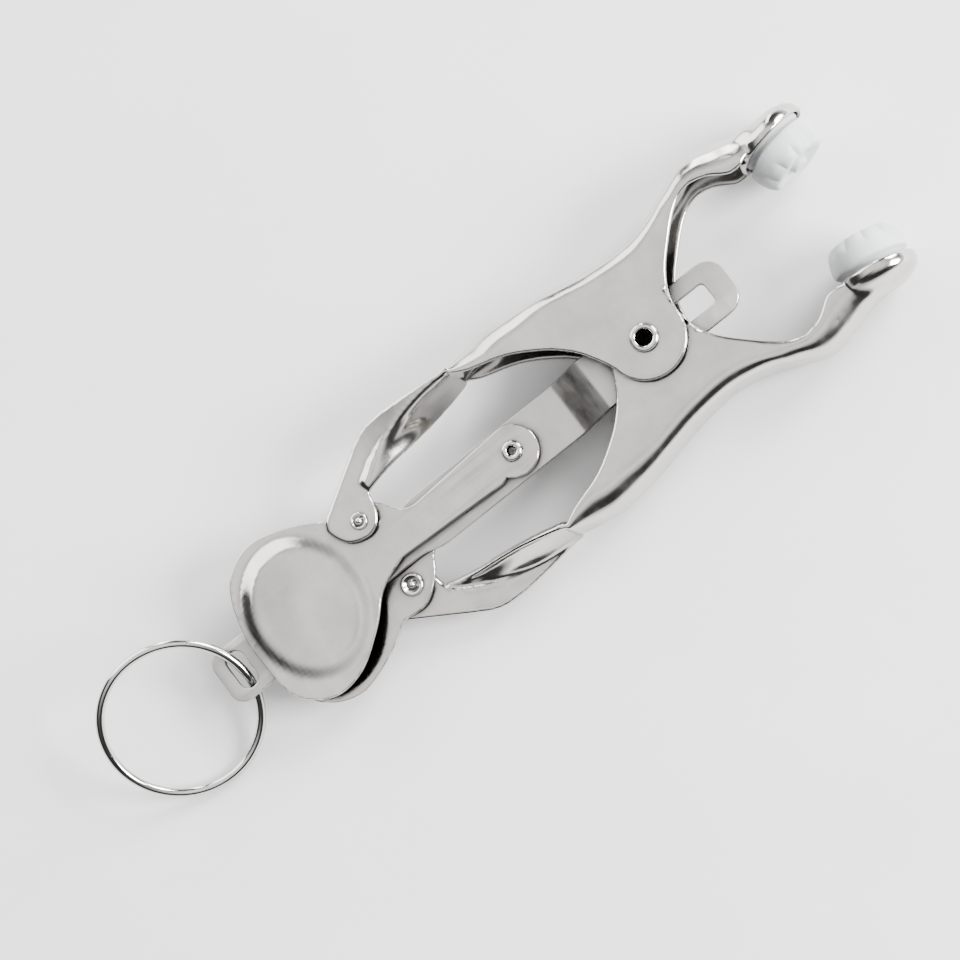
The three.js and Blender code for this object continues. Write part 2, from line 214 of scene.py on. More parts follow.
def plate(name, outline, bottom, top, holes=(), edge=0.13):
    """A flat sheet with softly rounded edges, from closed outlines."""
    curve = bpy.data.curves.new(name, "CURVE")
    curve.dimensions = "2D"
    curve.fill_mode = "BOTH"
    curve.extrude = (top - bottom) / 2 - edge
    curve.bevel_depth = edge
    curve.bevel_resolution = 2
    curve.offset = -edge
    for loop in (outline, *holes):
        line = curve.splines.new("POLY")
        line.points.add(len(loop) - 1)
        for point, (x, y) in zip(line.points, loop):
            point.co = (x, y, 0, 1)
        line.use_cyclic_u = True
    drawn = bpy.data.objects.new(name + "_drawn", curve)
    bpy.context.collection.objects.link(drawn)
    graph = bpy.context.evaluated_depsgraph_get()
    mesh = bpy.data.meshes.new_from_object(drawn.evaluated_get(graph))
    bpy.data.objects.remove(drawn)
    bpy.data.curves.remove(curve)
    obj = bpy.data.objects.new(name, mesh)
    bpy.context.collection.objects.link(obj)
    bm = bmesh.new()
    bm.from_mesh(mesh)
    bmesh.ops.remove_doubles(bm, verts=bm.verts, dist=1e-4)
    bmesh.ops.recalc_face_normals(bm, faces=bm.faces)
    bm.to_mesh(mesh)
    bm.free()
    mesh.transform(Matrix.Translation((0, 0, (top + bottom) / 2)))
    return obj


def sliced(obj, positions, axis=(1, 0, 0)):
    """Cuts the mesh across at each place along the axis, so that it can be bent there."""
    bm = bmesh.new()
    bm.from_mesh(obj.data)
    for position in positions:
        geometry = bm.verts[:] + bm.edges[:] + bm.faces[:]
        bmesh.ops.bisect_plane(bm, geom=geometry, plane_co=Vector(axis) * position, plane_no=axis)
    bm.to_mesh(obj.data)
    bm.free()


def lathe(name, profile, segments=64, wave=None):
    """A turned solid about Z from (radius, height) points. wave scales the radius at each point."""
    bm = bmesh.new()
    rings = []
    for radius, height in profile:
        if radius < 1e-6:
            rings.append([bm.verts.new((0, 0, height))])
            continue
        ring = []
        for k in range(segments):
            angle = math.tau * k / segments
            r = radius * (wave(radius, height, angle) if wave else 1)
            ring.append(bm.verts.new((r * math.cos(angle), r * math.sin(angle), height)))
        rings.append(ring)
    for a, b in zip(rings, rings[1:]):
        for k in range(segments):
            n = (k + 1) % segments
            corners = [a[k % len(a)], a[n % len(a)], b[n % len(b)], b[k % len(b)]]
            unique = list(dict.fromkeys(corners))
            if len(unique) > 2:
                bm.faces.new(unique)
    if len(rings[0]) > 1 and profile[0] == profile[-1]:
        bmesh.ops.remove_doubles(bm, verts=bm.verts, dist=1e-5)
    return new_object(name, bm)


def wire(name, points, radius, closed=False, sides=16):
    """A round wire along 3-D points, as a loop or with flat ends."""
    bm = bmesh.new()
    count = len(points)
    line = [Vector(p) for p in points]
    across = None
    rings = []
    for i, p in enumerate(line):
        before = line[i - 1] if i or closed else p
        after = line[(i + 1) % count] if i < count - 1 or closed else p
        along = (after - before).normalized()
        if across is None:
            across = along.orthogonal().normalized()
        across = (across - along * across.dot(along)).normalized()
        other = along.cross(across)
        rings.append([bm.verts.new(p + radius * (across * math.cos(a) + other * math.sin(a)))
                      for a in (math.tau * k / sides for k in range(sides))])
    pairs = list(zip(rings, rings[1:]))
    if closed:
        pairs.append((rings[-1], rings[0]))
    else:
        bm.faces.new(reversed(rings[0]))
        bm.faces.new(rings[-1])
    for a, b in pairs:
        for k in range(sides):
            bm.faces.new((a[k], a[(k + 1) % sides], b[(k + 1) % sides], b[k]))
    return smooth(new_object(name, bm), 60)


# ------------------------------------------------------------------ materials
def nodes_of(name):
    """A new material with its node tree and its surface shader."""
    material = bpy.data.materials.new(name)
    material.use_nodes = True
    tree = material.node_tree
    return material, tree, tree.nodes["Principled BSDF"]


def add(tree, kind, **inputs):
    node = tree.nodes.new(kind)
    for key, value in inputs.items():
        node.inputs[key.replace("_", " ")].default_value = value
    return node


def noise(tree, scale, detail=4.0, roughness=0.5, stretch=None):
    texture = add(tree, "ShaderNodeTexNoise", Scale=scale, Detail=detail, Roughness=roughness)
    where = tree.nodes.new("ShaderNodeTexCoord")
    mapping = tree.nodes.new("ShaderNodeMapping")
    mapping.inputs["Scale"].default_value = stretch or (1, 1, 1)
    tree.links.new(where.outputs["Object"], mapping.inputs["Vector"])
    tree.links.new(mapping.outputs["Vector"], texture.inputs["Vector"])
    return texture


def ramp(tree, source, stops):
    node = tree.nodes.new("ShaderNodeValToRGB")
    elements = node.color_ramp.elements
    while len(elements) < len(stops):
        elements.new(0.5)
    for element, (position, colour) in zip(elements, stops):
        element.position = position
        element.color = (*colour, 1)
    tree.links.new(source, node.inputs["Fac"])
    return node


def grey(value):
    return (value, value, value)


def metal(name, colour, rough, ripple, grain, scratch):
    """Plated steel: soft press ripples, fine grain, hairline scratches, a faint tarnish, and painted
    shade that darkens the colour in crevices, holes and under neighbouring parts.
    """
    material, tree, shader = nodes_of(name)
    link = tree.links.new
    shader.inputs["Metallic"].default_value = 1.0

    tarnish = noise(tree, 260, 5, 0.6)
    dull = tuple(c * 0.86 for c in colour)
    clean = tuple(min(c * 1.04, 1) for c in colour)
    tint = ramp(tree, tarnish.outputs["Fac"], [(0.3, dull), (0.62, colour), (0.8, clean)])
    # Painted shade: ambient occlusion darkens the base colour in crevices, bores, channel insides and
    # under neighbouring parts.
    crevice = add(tree, "ShaderNodeAmbientOcclusion", Distance=0.008)
    crevice.samples = 8
    shade = ramp(tree, crevice.outputs["AO"], [
        (0.0, grey(0.02)), (0.4, grey(0.22)), (0.72, grey(0.85)), (0.9, grey(1.0))])
    painted_shade_mix = tree.nodes.new("ShaderNodeMix")
    painted_shade_mix.data_type = "RGBA"
    painted_shade_mix.blend_type = "MULTIPLY"
    painted_shade_mix.inputs[0].default_value = 1.0
    link(tint.outputs["Color"], painted_shade_mix.inputs[6])
    link(shade.outputs["Color"], painted_shade_mix.inputs[7])
    link(painted_shade_mix.outputs[2], shader.inputs["Base Color"])

    smear = noise(tree, 420, 6, 0.62, (1, 0.35, 1))
    gloss = ramp(tree, smear.outputs["Fac"], [
        (0.25, grey(rough * 0.6)), (0.5, grey(rough)), (0.8, grey(rough * 1.7))])
    link(gloss.outputs["Color"], shader.inputs["Roughness"])

    waves = noise(tree, 120, 2, 0.4)
    fine = noise(tree, 5200, 3, 0.6)
    lines = noise(tree, 900, 4, 0.7, (0.12, 2.4, 1))
    height = None
    for texture, distance in ((waves, ripple), (fine, grain), (lines, scratch)):
        bump = add(tree, "ShaderNodeBump", Strength=1.0, Distance=distance)
        link(texture.outputs["Fac"], bump.inputs["Height"])
        if height:
            link(height.outputs["Normal"], bump.inputs["Normal"])
        height = bump
    link(height.outputs["Normal"], shader.inputs["Normal"])
    return material


def silicone(name):
    """Milky translucent silicone with a satin moulded skin and faint cloudiness."""
    material, tree, shader = nodes_of(name)
    link = tree.links.new
    cloud = noise(tree, 330, 4, 0.55)
    colour = ramp(tree, cloud.outputs["Fac"], [
        (0.3, (0.5, 0.515, 0.525)), (0.7, (0.62, 0.63, 0.635))])
    link(colour.outputs["Color"], shader.inputs["Base Color"])
    satin = noise(tree, 1500, 4, 0.6)
    gloss = ramp(tree, satin.outputs["Fac"], [(0.3, grey(0.34)), (0.7, grey(0.5))])
    link(gloss.outputs["Color"], shader.inputs["Roughness"])
    shader.inputs["IOR"].default_value = 1.41
    shader.inputs["Subsurface Weight"].default_value = 0.4
    shader.inputs["Subsurface Radius"].default_value = (1.0, 0.95, 0.9)
    shader.inputs["Subsurface Scale"].default_value = 0.001
    bump = add(tree, "ShaderNodeBump", Strength=0.6, Distance=0.00002)
    link(noise(tree, 2600, 3, 0.6).outputs["Fac"], bump.inputs["Height"])
    link(bump.outputs["Normal"], shader.inputs["Normal"])
    return material


# name, colour, roughness, then the heights in metres of ripples, grain and scratches
PLATED = metal("plated_steel", (0.62, 0.6, 0.575), 0.17, 0.0003, 0.0000012, 0.000008)
TUMBLED = metal("tumbled_steel", (0.57, 0.55, 0.525), 0.34, 0.0002, 0.000006, 0.000006)
BRIGHT = metal("bright_fasteners", (0.76, 0.75, 0.73), 0.14, 0.00002, 0.000001, 0.000002)
SPRING = metal("spring_steel", (0.5, 0.5, 0.51), 0.25, 0.00001, 0.000002, 0.000004)
SILICONE = silicone("silicone")


def finish_piece(obj, material, slot, body, *nodes):
    """Gives the piece its material, the body it rides on and the nodes it replaces. slot is not used."""
    obj.data.materials.clear()
    obj.data.materials.append(material)
    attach(obj, body)
    if nodes:
        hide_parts(*nodes)
    return obj


# ------------------------------------------------------------------ arm
FLANGE_END_X = -18.2
BAND_END_X = -32.5
ARM_BACK = [
    (21.4, 10.9), (20.4, 11.2), (17.6, 12.0), (14, 12.6), (11, 11.4), (8, 10.1), (4.2, 9.3), (0, 9.5),
    (-4.3, 10.3), (-9.2, 11.4), (-13.4, 11.8), (FLANGE_END_X, 10.6),
]
NEAR_RIM = [(FLANGE_END_X, 10.6), (-22.7, 10.4), (-27.2, 9.5), (-29.9, 8.4), (BAND_END_X, 6.8)]
LEAF_EDGE = [(FLANGE_END_X, 10.7), (-21.5, 11.2), (-26.4, 11.8), (-29.5, 11.6), (BAND_END_X, 10.0)]
FAR_RIM = [(FLANGE_END_X, 10.0), (-22.7, 8.6), (-25.5, 7.9), (-29.2, 7.2), (BAND_END_X, 6.4)]


def flange_edge():
    """The free edge of a side flange, from the neck round the ear to the flange's tail."""
    neck = spline([(21.2, 9.2), (19.9, 8.5), (18.5, 7.9), (17, 8), (15, 9.3), (12.8, 9.7), (10.7, 8.8),
                   (8.4, 6.8), (6.2, 4.5), (4.9, 2.4), (4.4, 0.55)], 6)
    ear = arc(0, 0, EAR_RADIUS, 7, -172, 44)
    tail = spline([(-4.35, -0.6), (-5.2, 1.2), (-6.6, 3.4), (-8.8, 5.5), (-12.4, 7.7), (-16.4, 9.0),
                   (FLANGE_END_X, 10.0)], 6)
    return evenly(neck, NECK_STATIONS)[:-1] + evenly(ear, EAR_STATIONS)[:-1] + evenly(tail, TAIL_STATIONS)


def back_rims():
    """The near and the far edge of the arm's back at every station, from the cup to the tab."""
    line = spline(ARM_BACK, 24)
    neck = evenly([p for p in line if p[0] > 5.5], NECK_STATIONS)[:-1]
    ear = evenly([p for p in line if 5.6 > p[0] > -5], EAR_STATIONS)[:-1]
    tail = evenly([p for p in line if p[0] < -4.9], TAIL_STATIONS)
    front = neck + ear + tail
    near = evenly(spline(NEAR_RIM), BAND_STATIONS)[1:]
    far = evenly(spline(FAR_RIM), BAND_STATIONS)[1:]
    return front + near, front + far


def band_heights(x):
    """The lowest and highest edge of the arm at x: shallower at the neck, tapering to the tab."""
    share = smooth_step(-x, -FLANGE_END_X, -BAND_END_X)
    slim = 1 - 0.07 * smooth_step(x, 13, 18) - 0.12 * smooth_step(x, 19, 21.4)
    low = -FLANGE_IN * slim + (TAB_Z + FLANGE_IN) * share ** 0.8
    high = FLANGE_OUT * slim + (TAB_Z + SHEET - FLANGE_OUT) * share
    return low, high


def bend_radius(x):
    """Wide bends, fullest at the neck and over the flange's tail, tight on the rear band."""
    full = 1.7 + 1.2 * smooth_step(x, 9, 14) + 1.3 * smooth_step(-x, 5, 12)
    return full + (0.5 - full) * smooth_step(-x, 15, 19.5)


def flange_side(x, y, reach, level, towards, radius):
    """Points from a flange's free edge over its bend to the back, at one station.

    reach runs from the back's edge (x, y) to the free edge, and towards is the bend's way along Z.
    """
    points = []
    outwards = reach.normalized()
    r = min(radius, reach.length * BEND_SHARE)
    for share in (1, 0.75, 0.5, 0.25):
        p = Vector((x, y)) + outwards * (r + (reach.length - r) * share)
        points.append((*p, level))
    for k in range(BEND_STEPS + 1):
        a = math.radians(90 * k / BEND_STEPS)
        p = Vector((x, y)) + outwards * r * (1 - math.sin(a))
        points.append((*p, level + towards * r * (1 - math.cos(a))))
    return points


def arm_sheet():
    """The channel as one sheet: flange, bend, back, bend, flange at each station.

    Behind the flanges the near side is a leaf that reaches outwards to the tab.
    """
    bm = bmesh.new()
    edge = flange_edge()
    near, far = back_rims()
    leaf = evenly(spline(LEAF_EDGE), BAND_STATIONS)[1:]
    rows = []
    for i, ((nx, ny), (fx, fy)) in enumerate(zip(near, far)):
        low, high = band_heights(nx)
        if i < len(edge):
            reach = Vector(edge[i]) - Vector((nx, ny))
            near_reach, near_level = reach, high
        else:
            before, after = near[i - 1], near[min(i + 1, len(near) - 1)]
            along = Vector((after[0] - before[0], after[1] - before[1])).normalized()
            reach = Vector((-along.y, along.x)) * BAND_LIP
            near_reach = Vector(leaf[i - len(edge)]) - Vector((nx, ny))
            near_level = high - SHEET
        radius = min(bend_radius(nx), reach.length * BEND_SHARE, (high - low) / 2.2)
        hollow = 0.35 * smooth_step(-nx, 17, 24) * smooth_step(nx, BAND_END_X, -26)
        back = []
        for k in range(1, WEB_STEPS):
            t = k / WEB_STEPS
            bow = hollow * math.sin(math.pi * t)
            p = Vector((nx, ny)).lerp(Vector((fx, fy)), t) - reach.normalized() * bow
            back.append((*p, high - radius + (low - high + 2 * radius) * t))
        near_side = flange_side(nx, ny, near_reach, near_level, -1, radius)
        far_side = flange_side(fx, fy, reach, low, 1, radius)
        rows.append([bm.verts.new(p) for p in near_side + back + far_side[::-1]])
    for a, b in zip(rows, rows[1:]):
        for k in range(len(a) - 1):
            bm.faces.new((a[k], a[k + 1], b[k + 1], b[k]))
    obj = new_object("arm_sheet", bm, closed=False)
    thick = obj.modifiers.new("thick", "SOLIDIFY")
    thick.thickness = SHEET
    thick.offset = -1
    return baked(obj)


def tab_mesh():
    """The flat end of the leaf, with a round nose about the rivet."""
    outline = (
        [(-31.2, 10.8), (-32.4, 10.1)]
        + spline([(-38.2, 6.5), (-38.7, 5.2), (-37.6, 3.0), (TAB_X - 0.1, TAB_Y - 1.9), (-33.7, 2.9),
                  (-33.0, 4.2), (-33.0, 5.6), (-32.6, 6.5), (-31.9, 7.2), (-31.2, 7.7)], 8)
    )
    return plate("tab", outline, TAB_Z, TAB_Z + SHEET)


def rim_beads():
    """Rolled edges of the rear band. The near one runs on round the tab's nose."""
    bead = 0.27
    near = [(x, y, band_heights(x)[1] - bead) for x, y in evenly(spline(NEAR_RIM), 60)]
    near += [(x, y, TAB_Z + SHEET - bead) for x, y in spline(
        [(-32.8, 6.0), (-33.1, 4.4), (-33.9, 3.1), (TAB_X, TAB_Y - 1.65), (-36.4, 2.8)], 6)]
    far = [(x, y, band_heights(x)[0] + bead) for x, y in evenly(spline(FAR_RIM), 60)]
    return [wire("near_bead", near, bead, sides=12), wire("far_bead", far, bead, sides=12)]


def neck_fillets():
    """Rounded material between the neck's corners and the side of the cup."""
    fillets = []
    for level in (2.35, -1.6):
        ball = lathe("neck_fillet", arc(0, 0, 1.25, 90, -90, 14), 24)
        stretch = Matrix.Diagonal((1.5, 0.9, 1, 1))
        ball.data.transform(Matrix.Translation((20.7, 10.1, level)) @ stretch)
        fillets.append(ball)
    return fillets


def cup_profile():
    """The cup's section from its back, round its rolled rim, to the middle of its floor."""
    inner = CUP_RADIUS - CUP_WALL
    cup_floor = CUP_DEPTH - CUP_WALL
    lip = CUP_WALL / 2
    outside = spline([(0, CUP_DEPTH + 0.1), (1.4, CUP_DEPTH + 0.05), (2.6, CUP_DEPTH - 0.2),
                      (3.6, CUP_DEPTH - 0.75), (4.12, CUP_DEPTH - 1.15), (4.34, CUP_DEPTH - 1.55),
                      (CUP_RADIUS - 0.05, 0.6), (CUP_RADIUS, 0.2)], 6)
    rim = arc(CUP_RADIUS - lip, 0.22, lip, 0, -180, 8)
    inside = spline([(inner, 0.35), (inner - 0.1, 0.9), (inner - 0.6, CUP_DEPTH - 1.2),
                     (inner - 1.4, cup_floor - 0.1), (1.2, cup_floor), (0, cup_floor)], 6)
    return outside + rim[1:] + inside


def at_cup(obj):
    """From an axis along Z, heights away from the jaws, to the cup's own place."""
    turn = Matrix.Rotation(CLOSING_ANGLE, 4, "Z") @ Matrix.Rotation(math.radians(-90), 4, "X")
    obj.data.transform(Matrix.Translation((CUP_X, CUP_Y, 0)) @ turn)
    return obj


def joined(name, objects):
    """One object with the meshes of all of them, which are removed."""
    bm = bmesh.new()
    for obj in objects:
        bm.from_mesh(obj.data)
        bpy.data.objects.remove(obj)
    mesh = bpy.data.meshes.new(name)
    bm.to_mesh(mesh)
    bm.free()
    obj = bpy.data.objects.new(name, mesh)
    bpy.context.collection.objects.link(obj)
    return obj


def arm_mesh():
    """Sheet, cup and tab fused into one skin with soft edges and fillets."""
    cup = at_cup(lathe("cup", cup_profile(), 72))
    parts = [arm_sheet(), cup, tab_mesh(), *rim_beads(), *neck_fillets()]
    obj = joined("arm_upper_pressing", parts)
    fuse = obj.modifiers.new("fuse", "REMESH")
    fuse.mode = "VOXEL"
    fuse.voxel_size = VOXEL
    baked(obj)
    joint = obj.vertex_groups.new(name="neck_joint")
    for vert in obj.data.vertices:
        near = 1 - smooth_step((vert.co.xy - Vector((20.4, 10.4))).length, 1.4, 4.2)
        if near and vert.co.y > CUP_Y + 0.7:
            joint.add([vert.index], near, "REPLACE")
    soft = obj.modifiers.new("soften", "SMOOTH")
    soft.factor = 0.5
    soft.iterations = 12
    bent = obj.vertex_groups.new(name="rear_band_and_neck")
    for vert in obj.data.vertices:
        share = smooth_step(-vert.co.x, 18, 20) + smooth_step(vert.co.x, 7, 11)
        if share:
            bent.add([vert.index], share, "REPLACE")
    easing = obj.modifiers.new("easing", "SMOOTH")
    easing.factor = 0.5
    easing.iterations = 20
    easing.vertex_group = "rear_band_and_neck"
    fillet = obj.modifiers.new("fillet", "SMOOTH")
    fillet.factor = 0.5
    fillet.iterations = 120
    fillet.vertex_group = "neck_joint"
    drill = lathe("drill", [(0, -9), (PIVOT_HOLE, -9), (PIVOT_HOLE, 9), (0, 9)], 48)
    bore = obj.modifiers.new("bore", "BOOLEAN")
    bore.object = drill
    bore.solver = "EXACT"
    baked(obj)
    bpy.data.objects.remove(drill)
    return smooth(obj, 40)


# ------------------------------------------------------------------ other pieces
def pad_mesh(name):
    """A moulded pad: a plug in the cup, a drum with a petalled edge, and a nub in its dished face."""
    base = CUP_RADIUS - CUP_WALL - 0.2
    plug = [(0, 1.75), (base - 1.3, 1.6), (base - 0.5, 1.1), (base, 0.5), (base, 0.1)]
    drum = spline([(base - 0.3, -0.2), (base - 0.05, -0.5), (PAD_RADIUS - 0.05, -0.8),
                   (PAD_RADIUS + 0.05, -1.3), (PAD_RADIUS, -1.9), (PAD_RADIUS - 0.1, -2.4),
                   (PAD_RADIUS - 0.35, -3.0), (PAD_RADIUS - 0.9, -PAD_FACE),
                   (PAD_RADIUS - 1.8, -PAD_FACE + 0.05), (1.5, -PAD_FACE + 0.3),
                   (1.1, -PAD_FACE + 0.3)], 5)
    nub = spline([(0.98, -PAD_FACE), (0.9, -PAD_FACE - 0.2), (0.6, -PAD_FACE - 0.33),
                  (0, -PAD_FACE - 0.35)], 4)

    def petals(radius, height, angle):
        near = smooth_step(-height, 2.1, 3.2) * smooth_step(radius, 2.4, 3.6)
        lobe = abs(math.cos(angle * PAD_PETALS / 2)) ** 0.6
        return 1 + PETAL_DEPTH * near * (lobe - 0.75)

    return smooth(at_cup(lathe(name, plug + drum + nub, 176, petals)), 180)


def lever_outline():
    """Round the link eyelet's head, past the tab rivet, and round the finger wing."""
    wing_start = (-38.2, 6.5)
    head = arc(LINK_X, 0, LEVER_HEAD_RADIUS, -140, 94, 36)
    shoulder = spline([(-30.2, 2.2), (-31.4, 2.9), (-32.7, 4.8), (TAB_X, 6.6), wing_start], 8)[1:]
    wing = spline([wing_start, (-41.8, 8.6), (-46.4, 9.8), (-50.4, 7.9), (-52.3, 3.4), (-52.6, -1.4),
                   (-51.8, -6), (-48.6, -8.6), (-44.6, -8.3), (-40.6, -5.7), (-37.6, -2.9),
                   (-34, -1.5)], 8)[1:]
    return head + [(-29.6, 2.1)] + shoulder + wing + [(-21, -2.1)]


def lever_mesh(name):
    """The lever, with a crowned panel pressed up in its finger wing."""
    link_hole = arc(LINK_X, 0, LEVER_HOLE_RADIUS, 0, 345, 23)
    tab_hole = arc(TAB_X, TAB_Y, LEVER_TAB_HOLE_RADIUS, 0, 345, 23)
    obj = plate(name, lever_outline(), LINK_Z, LINK_Z + SHEET, (link_hole, tab_hole))
    sliced(obj, [-52 + 0.5 * k for k in range(34)])
    sliced(obj, [-8 + 0.5 * k for k in range(35)], (0, 1, 0))
    for vert in obj.data.vertices:
        x, y = vert.co.xy
        if x < -36:
            away = math.hypot((x - WING_X) / WING_HALF_LENGTH, (y - WING_Y) / WING_HALF_WIDTH)
            vert.co.z += WING_RISE * (1 - smooth_step(away, 0.72, 0.98))
            vert.co.z += WING_CROWN * (1 - smooth_step(away, 0, 0.8))
    return smooth(obj, 30)


def strip_outline():
    """A wide front, a narrow waist between the levers and a wide tail, with round corners."""
    front = STRIP_FRONT_X - STRIP_CORNER
    half = (
        arc(front, STRIP_HALF - STRIP_CORNER, STRIP_CORNER, 0, 90, 12)
        + bezier((-29, STRIP_HALF), (-31, STRIP_HALF), (-31, TAIL_HALF), (-33, TAIL_HALF))
        + bezier((-50, TAIL_HALF), (-51.5, TAIL_HALF), (-52, STRIP_HALF), (-53.5, STRIP_HALF))
        + arc(TAIL_X + TAIL_CORNER, STRIP_HALF - TAIL_CORNER, TAIL_CORNER, 90, 180, 10)
    )
    return half + [(x, -y) for x, y in reversed(half)]


def slot_outline():
    """Round at the rear, square with small corners at the front."""
    corner_x, corner_y = SLOT_END_X - SLOT_CORNER, SLOT_HALF - SLOT_CORNER
    return (
        arc(corner_x, corner_y, SLOT_CORNER, 0, 90, 5)
        + arc(SLOT_START_X + SLOT_HALF, 0, SLOT_HALF, 90, 270, 16)
        + arc(corner_x, -corner_y, SLOT_CORNER, -90, 0, 5)
    )


def strip_mesh():
    """A flat strip, cut across at the ramp and then stepped up at the front."""
    hole = TAIL_HOLE_RADIUS
    tail_hole = arc(TAIL_HOLE_X, hole, hole, 0, 180, 12) + arc(TAIL_HOLE_X, -hole, hole, 180, 360, 12)
    link_hole = arc(LINK_X, 0, 0.8, 0, 345, 23)
    holes = (slot_outline(), tail_hole, link_hole)
    obj = plate("slide_strip_pressing", strip_outline(), -SHEET / 2, SHEET / 2, holes)
    sliced(obj, [-11.6 + 0.19 * k for k in range(27)])
    for vert in obj.data.vertices:
        x = vert.co.x
        straight = min(max((x - RAMP_START_X) / (RAMP_END_X - RAMP_START_X), 0), 1)
        soft = smooth_step(x, RAMP_SOFT_START_X, RAMP_SOFT_END_X)
        vert.co.z += STRIP_STEP * (0.75 * straight + 0.25 * soft)
    return smooth(obj, 30)


def eyelet_mesh(name, tube, bore, head, half_grip, x=0.0):
    """A rolled eyelet: a tube whose two ends curl outwards into round heads."""
    lip = 0.3
    top = half_grip + 0.58
    half = (
        [(bore, 0), (bore, half_grip - 0.1)]
        + spline([(bore, half_grip), (bore + 0.03, half_grip + 0.25), (bore + 0.14, top - 0.08),
                  (bore + 0.3, top)], 5)
        + arc(head - lip, top - lip, lip, 90, -60, 10)
        + [(head - 0.18, half_grip + 0.04), (tube, half_grip + 0.04), (tube, 0)]
    )
    profile = half[::-1] + [(r, -h) for r, h in half[1:]]
    obj = lathe(name, profile[:-1] + [(tube, 0)], 56)
    obj.data.transform(Matrix.Translation((x, 0, 0)))
    return smooth(obj, 50)


def rivet_end(ring_radius, ring_wire, dome_radius):
    """A bright ring about a small dome, as (radius, height) points from the outside inwards."""
    middle = ring_radius - ring_wire
    return (
        [(middle + ring_wire, 0)]
        + arc(middle, ring_wire, ring_wire, -20, 150, 8)
        + [(dome_radius + 0.08, 0.12), (dome_radius, 0.16)]
        + arc(0, 0.12, dome_radius, 12, 84, 7)
        + [(0, 0.12 + dome_radius)]
    )


def rivet_mesh(name):
    """A rivet with a ring and dome at both ends, the wider one over the lever's open hole."""
    bottom = LINK_Z - 0.05
    top = TAB_Z + SHEET + 0.1
    below = [(radius, bottom - height) for radius, height in rivet_end(1.22, 0.2, 0.42)]
    above = [(radius, top + height) for radius, height in rivet_end(0.92, 0.16, 0.42)]
    obj = lathe(name, below[::-1] + [(0.5, bottom), (0.5, top)] + above, 48)
    obj.data.transform(Matrix.Translation((TAB_X, TAB_Y, 0)))
    return smooth(obj, 50)


def spacer_mesh():
    """The turned sleeve inside the spring, between the upper arm's inner flange and the strip."""
    clearance = 0.15
    bottom = -FLANGE_IN + SHEET + clearance
    top = STRIP_STEP - SHEET / 2 - clearance
    inner, outer, edge = 1.2, 1.65, 0.08
    profile = [(inner, bottom), (outer - edge, bottom), (outer, bottom + edge), (outer, top - edge),
               (outer - edge, top), (inner, top), (inner, bottom)]
    return smooth(lathe("pivot_spacer_turned", profile, 48), 40)


# ------------------------------------------------------------------ spring and ring
SPRING_LOW = -FLANGE_IN + SHEET + 0.3 + SPRING_WIRE


def coil_point(turns):
    """The wire's middle after so many turns from the lower end."""
    angle = SPRING_START + turns * math.tau
    height = SPRING_LOW + SPRING_PITCH * turns
    return (SPRING_RADIUS * math.cos(angle), SPRING_RADIUS * math.sin(angle), height)


def spring_coil():
    points = [coil_point(SPRING_TURNS * k / 150) for k in range(151)]
    return wire("spring_coil", points, SPRING_WIRE, sides=12)


def spring_leg(name, turns, direction):
    """A leg that starts a short way inside the coil and runs straight towards an arm's back."""
    inside = 0.12 if turns == 0 else -0.12
    points = [coil_point(turns + inside * (1 - k / 8)) for k in range(8)]
    start = Vector(coil_point(turns))
    points += [tuple(start + Vector((*direction, 0)) * SPRING_LEG * k / 12) for k in range(13)]
    return wire(name, points, SPRING_WIRE, sides=12)


def ring_mesh():
    """The pull ring through the strip's tail hole, tilted about the clamp's length."""
    points = []
    for k in range(120):
        a = math.tau * k / 120
        y = RING_RADIUS * math.sin(a)
        points.append((TAIL_HOLE_X - RING_RADIUS + RING_RADIUS * math.cos(a),
                       y * math.cos(RING_TILT), y * math.sin(RING_TILT)))
    return wire("pull_ring_wire", points, RING_WIRE, closed=True, sides=20)


# ------------------------------------------------------------------ making the clamp
upper = place(arm_mesh())
lower = upper.copy()
lower.data = upper.data.copy()
lower.name = "arm_lower_pressing"
bpy.context.collection.objects.link(lower)
half_turn = Matrix.Rotation(math.pi, 4, "X")
lower.data.transform(Matrix.Translation(PIVOT) @ half_turn @ Matrix.Translation(-PIVOT))
finish_piece(upper, PLATED, "plated_steel", "upper_arm", "arm_upper")
finish_piece(lower, PLATED, "plated_steel", "lower_arm", "arm_lower")

for side, layer, turn in (("upper", "near", 0.0), ("lower", "far", math.pi)):
    pad = place(pad_mesh(f"pad_{side}_moulding"), turn)
    finish_piece(pad, SILICONE, "silicone", f"{side}_arm", f"pad_{side}")
    lever = place(lever_mesh(f"lever_{layer}_pressing"), turn)
    finish_piece(lever, PLATED, "plated_steel", f"{layer}_lever", f"lever_{layer}")
    rivet = place(rivet_mesh(f"tab_rivet_{side}_turned"), turn)
    finish_piece(rivet, BRIGHT, "bright_fasteners", f"{side}_arm", f"tab_rivet_{side}")

strip = place(strip_mesh())
finish_piece(strip, TUMBLED, "tumbled_steel", "strip", "slide_strip")
pivot_eyelet = place(eyelet_mesh("pivot_eyelet_rolled", 1.05, 0.8, 1.5, FLANGE_OUT))
finish_piece(pivot_eyelet, BRIGHT, "bright_fasteners", "pivot", "pivot_eyelet")
link_eyelet = place(eyelet_mesh("link_eyelet_rolled", 0.7, 0.4, 1.1, LINK_Z + SHEET, LINK_X))
finish_piece(link_eyelet, BRIGHT, "bright_fasteners", "strip", "link_eyelet")
spacer = place(spacer_mesh())
finish_piece(spacer, TUMBLED, "tumbled_steel", "pivot", "pivot_spacer")
coil = place(spring_coil())
finish_piece(coil, SPRING, "spring_steel", "pivot", "torsion_spring")
upper_leg = place(spring_leg("spring_leg_upper", 0, (-0.78, 0.63)))
finish_piece(upper_leg, SPRING, "spring_steel", "upper_arm")
lower_leg = place(spring_leg("spring_leg_lower", SPRING_TURNS, (-0.83, -0.7)))
finish_piece(lower_leg, SPRING, "spring_steel", "lower_arm")
ring = place(ring_mesh())
finish_piece(ring, BRIGHT, "bright_fasteners", "ring", "pull_ring")


